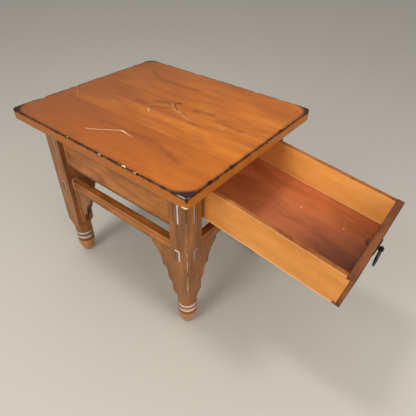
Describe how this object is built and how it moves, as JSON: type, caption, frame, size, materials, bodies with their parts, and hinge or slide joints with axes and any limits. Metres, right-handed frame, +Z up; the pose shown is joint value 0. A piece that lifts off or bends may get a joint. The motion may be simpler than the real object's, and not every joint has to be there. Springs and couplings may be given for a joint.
{
  "type": "end table",
  "caption": "Small tavern-style wooden end table with turned feet, low stretchers, scrolled corner brackets and a drawer with an iron ring pull.",
  "frame": {"origin": "on the floor, below the middle of the whole outline with the drawer pulled out as at rest", "axes": "+X the way the drawer pulls out, +Z up, +Y to the right of someone facing the drawer"},
  "size_m": [1.0753, 0.597, 0.61],
  "materials": {
    "top_wood": "worn honey-brown varnish",
    "stained_wood": "brown stain and varnish",
    "plain_wood": "thinly oiled",
    "drawer_bottom_wood": "red-brown stain",
    "black_iron": "black, waxed",
    "zinc_steel": "dull zinc"
  },
  "bodies": {
    "frame": {"apron_left": "stained_wood", "apron_rear": "stained_wood", "apron_right": "stained_wood", "bracket_dowels": "plain_wood", "bracket_front_left_end": "stained_wood", "bracket_front_left_side": "stained_wood", "bracket_front_right_end": "stained_wood", "bracket_front_right_side": "stained_wood", "bracket_rear_left_end": "stained_wood", "bracket_rear_left_side": "stained_wood", "bracket_rear_right_end": "stained_wood", "bracket_rear_right_side": "stained_wood", "drawer_guide_left": "plain_wood", "drawer_guide_right": "plain_wood", "drawer_runner_left": "plain_wood", "drawer_runner_right": "plain_wood", "drawer_stops": "plain_wood", "front_top_rail": "plain_wood", "leg_front_left": "stained_wood", "leg_front_right": "stained_wood", "leg_rear_left": "stained_wood", "leg_rear_right": "stained_wood", "stretcher_front": "stained_wood", "stretcher_left": "stained_wood", "stretcher_rear": "stained_wood", "stretcher_right": "stained_wood", "table_top": "top_wood", "tenon_caps_lower": "stained_wood", "tenon_caps_upper": "stained_wood", "top_fixing_blocks": "plain_wood", "top_fixing_screws": "zinc_steel"},
    "roller": {"drawer_roller": "plain_wood"},
    "drawer": {"drawer_front": "stained_wood", "drawer_side_left": "plain_wood", "drawer_side_right": "plain_wood", "drawer_back": "plain_wood", "drawer_bottom": "drawer_bottom_wood", "pull_rosette": "black_iron", "pull_post": "black_iron", "pull_washer": "black_iron", "pull_nut": "black_iron"},
    "ring": {"pull_ring": "black_iron"}
  },
  "joints": [
    {"name": "drawer_tip", "type": "hinge", "parent": "frame", "child": "roller", "pos_m": [0.07686, 0, 0.437], "axis": [0, 1, 0], "range_deg": [-7.3, 0.55]},
    {"name": "drawer_slide", "type": "slide", "parent": "roller", "child": "drawer", "axis": [0.9919, 0, -0.1271], "range_m": [-0.4143, 0.03]},
    {"name": "ring_swing", "type": "hinge", "parent": "drawer", "child": "ring", "pos_m": [0.53074, 0, 0.45981], "axis": [0, -1, 0], "range_deg": [-13.5, 165]}
  ],
  "couplings": [
    {"joint": "drawer_tip", "follows": "drawer_slide", "rad_per_m": 0.3075}
  ]
}
